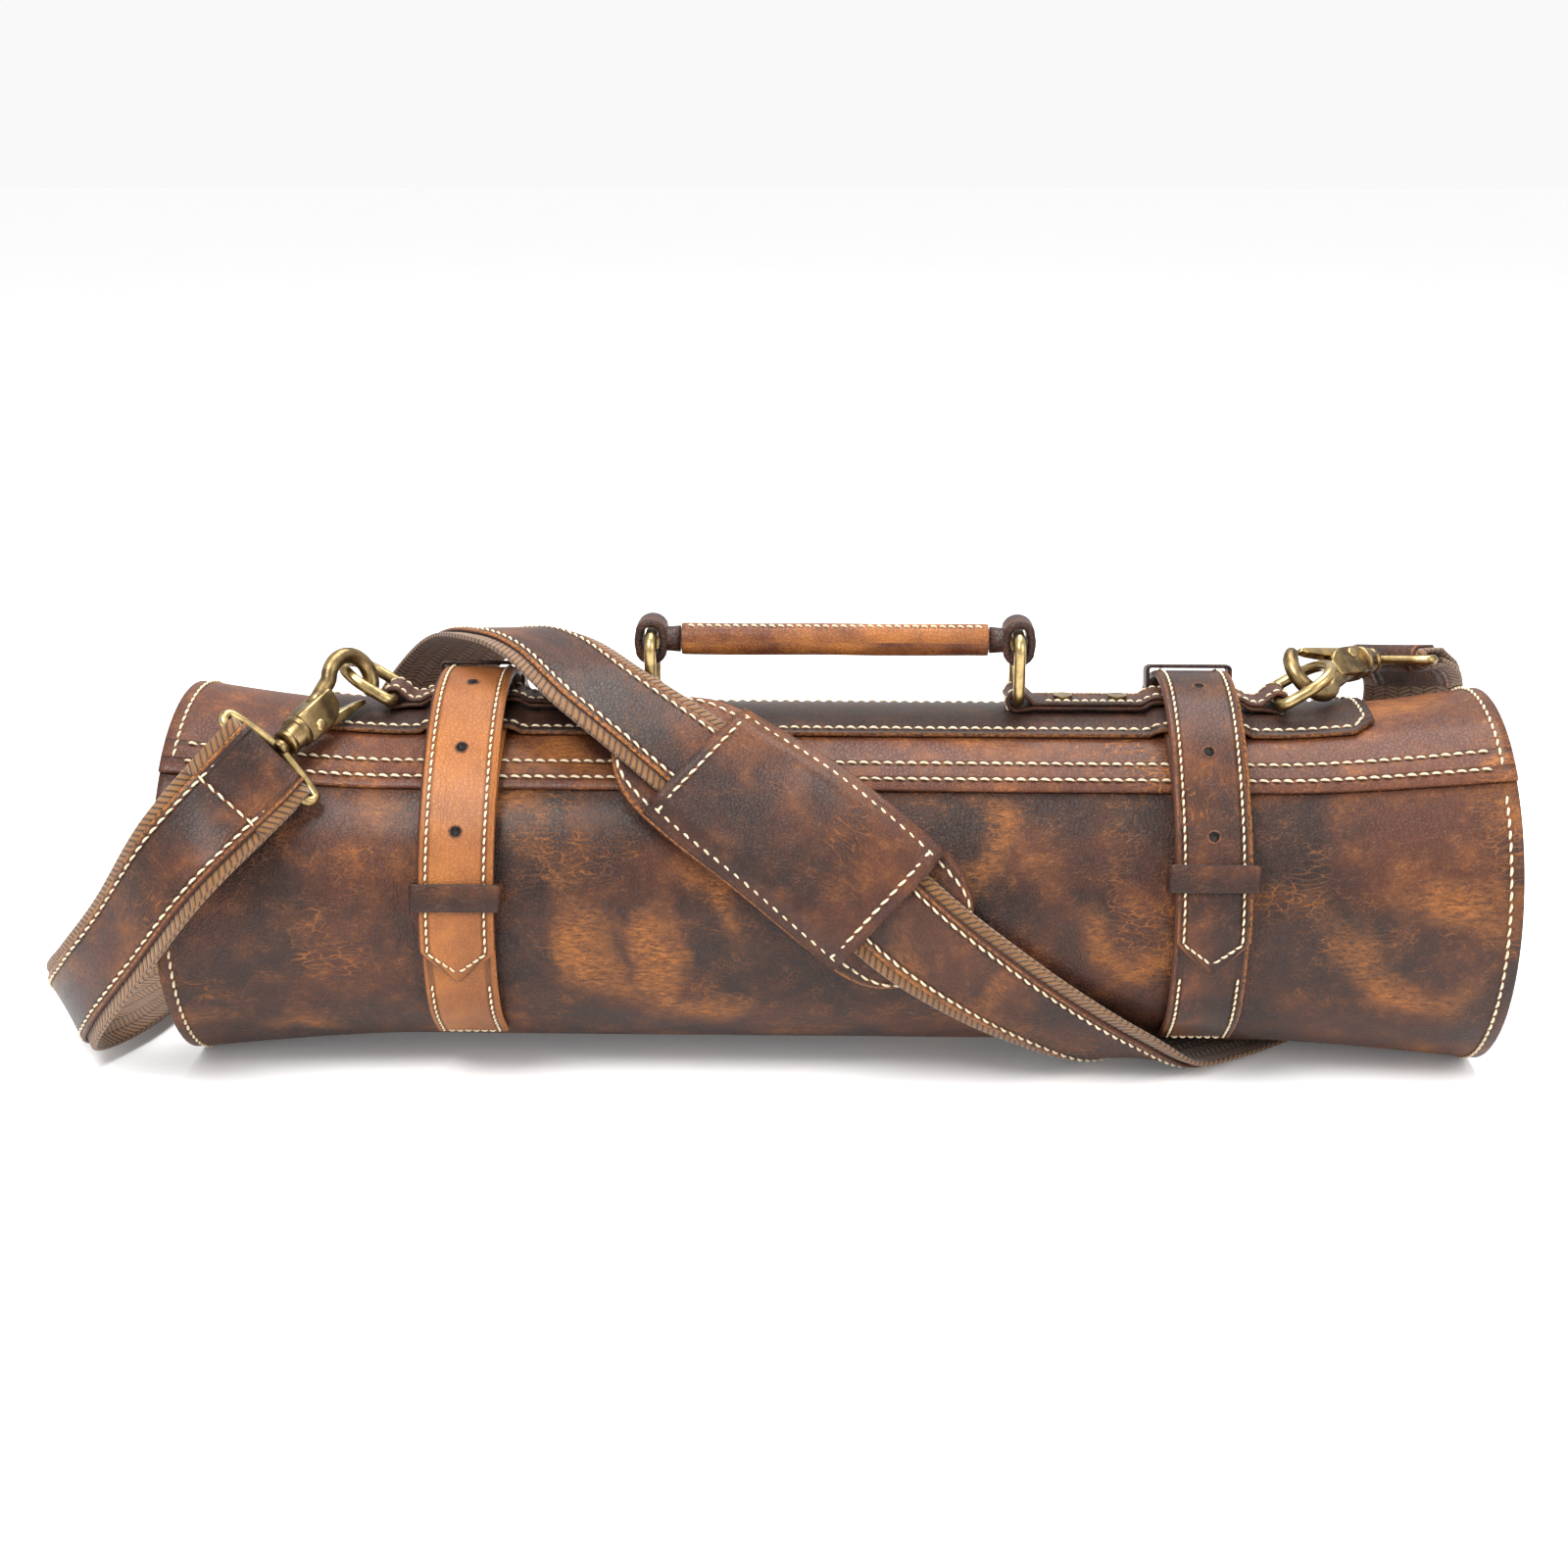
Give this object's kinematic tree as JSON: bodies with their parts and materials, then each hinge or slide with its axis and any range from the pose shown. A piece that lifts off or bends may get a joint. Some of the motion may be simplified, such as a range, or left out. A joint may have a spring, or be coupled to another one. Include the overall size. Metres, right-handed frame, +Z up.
{
  "type": "brush roll case",
  "caption": "Leather brush roll case, rolled and belted shut, with a stitched grip on rings and a webbing and leather shoulder strap on swivel snap hooks.",
  "frame": {"origin": "on the ground under the middle of the roll", "axes": "+X along the roll to the right as seen from the front, +Y to the back, +Z up"},
  "size_m": [0.5448, 0.1751, 0.1644],
  "materials": {
    "tan_leather": "waxed, scuffed",
    "dark_leather": "waxed, scuffed",
    "suede": "rough",
    "lining": "woven",
    "rope": "twisted cotton",
    "webbing": "herringbone cotton",
    "old_brass": "aged, rubbed bright on the edges"
  },
  "bodies": {
    "roll": {"upper_panel": "tan_leather", "lower_panel": "dark_leather", "inner_wrap": "suede", "pocket_panel": "lining", "cover_flap": "suede", "top_patch": "dark_leather", "ring_strap_left": "dark_leather", "ring_strap_right": "dark_leather", "rivets_left": "old_brass", "rivets_right": "old_brass", "belt_base_left": "tan_leather", "belt_base_right": "dark_leather", "belt_tail_left": "tan_leather", "belt_tail_right": "dark_leather", "top_keeper_left": "dark_leather", "top_keeper_right": "dark_leather", "buckle_frame_left": "old_brass", "buckle_frame_right": "old_brass", "swivel_eye_left": "old_brass", "swivel_eye_right": "old_brass", "strap_webbing": "webbing", "strap_leather": "dark_leather", "pad_base": "suede", "pad_sleeve": "dark_leather"},
    "front_keeper_left": {"front_keeper_left": "dark_leather"},
    "prong_left": {"buckle_prong_left": "old_brass"},
    "handle_ring_left": {"handle_ring_left": "old_brass"},
    "d_ring_left": {"d_ring_left": "old_brass"},
    "hook_left": {"hook_body_left": "old_brass", "gate_pin_left": "old_brass"},
    "gate_left": {"hook_gate_left": "old_brass"},
    "front_keeper_right": {"front_keeper_right": "dark_leather"},
    "prong_right": {"buckle_prong_right": "old_brass"},
    "handle_ring_right": {"handle_ring_right": "old_brass"},
    "d_ring_right": {"d_ring_right": "old_brass"},
    "hook_right": {"hook_body_right": "old_brass", "gate_pin_right": "old_brass"},
    "gate_right": {"hook_gate_right": "old_brass"},
    "handle": {"handle_core": "rope", "handle_grip": "tan_leather", "handle_loop_left": "dark_leather", "handle_loop_right": "dark_leather"}
  },
  "joints": [
    {"name": "handle_ring_left_swing", "type": "hinge", "parent": "roll", "child": "handle_ring_left", "pos_m": [-0.067, 0, 0.1344], "axis": [0, 1, 0], "range_deg": [0, 30]},
    {"name": "handle_ring_right_swing", "type": "hinge", "parent": "roll", "child": "handle_ring_right", "pos_m": [0.067, 0, 0.1344], "axis": [0, 1, 0], "range_deg": [0, 30]},
    {"name": "handle_pivot", "type": "hinge", "parent": "handle_ring_left", "child": "handle", "pos_m": [-0.067, 0, 0.158], "axis": [0, 1, 0], "range_deg": [-30, 0]},
    {"name": "d_ring_left_swing", "type": "hinge", "parent": "roll", "child": "d_ring_left", "pos_m": [-0.162, 0, 0.1344], "axis": [0, 1, 0], "range_deg": [-3, 3]},
    {"name": "hook_left_swivel", "type": "hinge", "parent": "roll", "child": "hook_left", "pos_m": [-0.1941, -0.0444, 0.127], "axis": [0.4593, 0.8094, 0.366], "range_deg": [-4, 4]},
    {"name": "gate_left_lever", "type": "hinge", "parent": "hook_left", "child": "gate_left", "pos_m": [-0.18617, -0.03184, 0.13026], "axis": [0.784, -0.563, 0.2613], "range_deg": [0, 8], "stiffness_Nm_per_rad": 0.08, "springref_deg": -11.46},
    {"name": "front_keeper_left_slide", "type": "hinge", "parent": "roll", "child": "front_keeper_left", "pos_m": [-0.132, 0, 0.0652], "axis": [1, 0, 0], "range_deg": [-6, 6]},
    {"name": "prong_left_lift", "type": "hinge", "parent": "roll", "child": "prong_left", "pos_m": [-0.132, 0.04311, 0.12044], "axis": [1, 0, 0], "range_deg": [0, 30]},
    {"name": "d_ring_right_swing", "type": "hinge", "parent": "roll", "child": "d_ring_right", "pos_m": [0.162, 0, 0.1344], "axis": [0, 1, 0], "range_deg": [-3, 3]},
    {"name": "hook_right_swivel", "type": "hinge", "parent": "roll", "child": "hook_right", "pos_m": [0.2042, 0.0345, 0.1406], "axis": [-0.7245, -0.6859, 0.0681], "range_deg": [-4, 4]},
    {"name": "gate_right_lever", "type": "hinge", "parent": "hook_right", "child": "gate_right", "pos_m": [0.19223, 0.02555, 0.14342], "axis": [0.5301, -0.4913, 0.6911], "range_deg": [0, 6], "stiffness_Nm_per_rad": 0.08, "springref_deg": -11.46},
    {"name": "front_keeper_right_slide", "type": "hinge", "parent": "roll", "child": "front_keeper_right", "pos_m": [0.132, 0, 0.0652], "axis": [1, 0, 0], "range_deg": [-6, 6]},
    {"name": "prong_right_lift", "type": "hinge", "parent": "roll", "child": "prong_right", "pos_m": [0.132, 0.04311, 0.12044], "axis": [1, 0, 0], "range_deg": [0, 30]}
  ],
  "couplings": [
    {"joint": "handle_ring_right_swing", "follows": "handle_ring_left_swing", "ratio": 1},
    {"joint": "handle_pivot", "follows": "handle_ring_left_swing", "ratio": -1}
  ]
}
